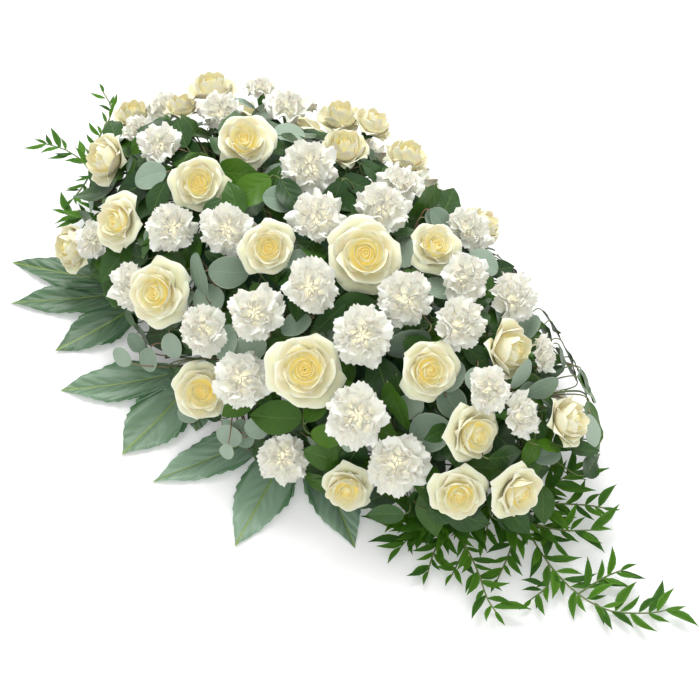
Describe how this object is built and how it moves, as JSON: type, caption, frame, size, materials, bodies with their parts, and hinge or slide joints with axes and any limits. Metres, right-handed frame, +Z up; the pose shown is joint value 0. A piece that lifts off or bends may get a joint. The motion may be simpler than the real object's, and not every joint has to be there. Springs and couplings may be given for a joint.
{
  "type": "funeral flower arrangement",
  "caption": "Long, low teardrop casket spray of cream roses, white carnations and green foliage, standing in a foam block on a shallow tray.",
  "frame": {"origin": "middle of the flat underside of the tray, on the surface that the spray rests on", "axes": "+X along the spray to its trailing tip, +Y to the back, +Z up"},
  "size_m": [1.0069, 0.5046, 0.2386],
  "materials": {
    "cream_petal": "soft matt cream rose petals with yellow hearts",
    "white_petal": "matt white ruffled carnation petals",
    "salal_green": "leathery dark green leaves with a soft gloss",
    "eucalyptus_grey": "matt grey-green round leaves with a waxy bloom",
    "fatsia_green": "glossy dark green lobed leaves with pale veins",
    "ruscus_green": "satin mid-green lance leaves",
    "tray": "thin dark green moulded plastic",
    "foam": "wet dark green floral foam"
  },
  "bodies": {
    "root": {"carnation_01": "white_petal", "carnation_02": "white_petal", "carnation_03": "white_petal", "carnation_04": "white_petal", "carnation_05": "white_petal", "carnation_06": "white_petal", "carnation_07": "white_petal", "carnation_08": "white_petal", "carnation_09": "white_petal", "carnation_10": "white_petal", "carnation_11": "white_petal", "carnation_12": "white_petal", "carnation_13": "white_petal", "carnation_14": "white_petal", "carnation_15": "white_petal", "carnation_16": "white_petal", "carnation_17": "white_petal", "carnation_18": "white_petal", "carnation_19": "white_petal", "carnation_20": "white_petal", "eucalyptus_01": "eucalyptus_grey", "eucalyptus_02": "eucalyptus_grey", "eucalyptus_03": "eucalyptus_grey", "eucalyptus_04": "eucalyptus_grey", "eucalyptus_05": "eucalyptus_grey", "fatsia_01": "fatsia_green", "fatsia_02": "fatsia_green", "fatsia_03": "fatsia_green", "foam": "foam", "rose_01": "cream_petal", "rose_02": "cream_petal", "rose_03": "cream_petal", "rose_04": "cream_petal", "rose_05": "cream_petal", "rose_06": "cream_petal", "rose_07": "cream_petal", "rose_08": "cream_petal", "rose_09": "cream_petal", "rose_10": "cream_petal", "rose_11": "cream_petal", "rose_12": "cream_petal", "rose_13": "cream_petal", "rose_14": "cream_petal", "rose_15": "cream_petal", "rose_16": "cream_petal", "rose_17": "cream_petal", "rose_18": "cream_petal", "rose_19": "cream_petal", "rose_20": "cream_petal", "rose_21": "cream_petal", "rose_22": "cream_petal", "ruscus_01": "ruscus_green", "ruscus_02": "ruscus_green", "ruscus_03": "ruscus_green", "salal_01": "salal_green", "salal_02": "salal_green", "salal_03": "salal_green", "salal_04": "salal_green", "salal_05": "salal_green", "tray": "tray"}
  },
  "joints": []
}
